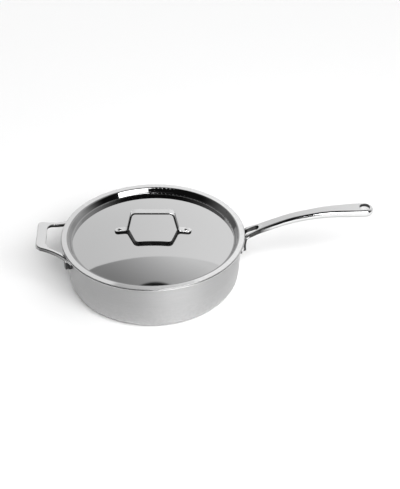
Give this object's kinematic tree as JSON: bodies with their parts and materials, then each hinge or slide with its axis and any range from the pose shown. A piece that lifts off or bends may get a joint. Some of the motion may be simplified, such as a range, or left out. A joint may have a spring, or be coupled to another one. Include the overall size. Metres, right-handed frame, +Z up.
{
  "type": "saute pan with lid",
  "caption": "Straight-sided saute pan with a flat rolled lip, a forked long handle, a loop helper handle and a recessed lid that lifts off.",
  "frame": {"origin": "centre of the pan's flat base, on the table", "axes": "+Z up along the pan's axis; +X runs out along the long handle, the helper handle points to -X"},
  "size_m": [0.533, 0.292, 0.1273],
  "materials": {
    "pan_steel": "satin stainless steel",
    "long_handle_steel": "polished cast stainless steel",
    "helper_handle_steel": "polished cast stainless steel",
    "rivet_steel": "plain stainless steel",
    "lid_steel": "satin dome, polished ring wall",
    "lid_handle_steel": "polished stainless steel strap",
    "lid_rivet_steel": "plain stainless steel"
  },
  "bodies": {
    "pan": {"pan_body": "pan_steel", "long_handle": "long_handle_steel", "long_handle_rivets": "rivet_steel", "helper_handle": "helper_handle_steel", "helper_handle_rivets": "rivet_steel"},
    "lid": {"lid_shell": "lid_steel", "lid_handle": "lid_handle_steel", "lid_handle_rivets": "lid_rivet_steel"}
  },
  "joints": [
    {"name": "lid_lift", "type": "slide", "parent": "pan", "child": "lid", "axis": [0, 0, 1], "range_m": [0, 0.12]}
  ]
}
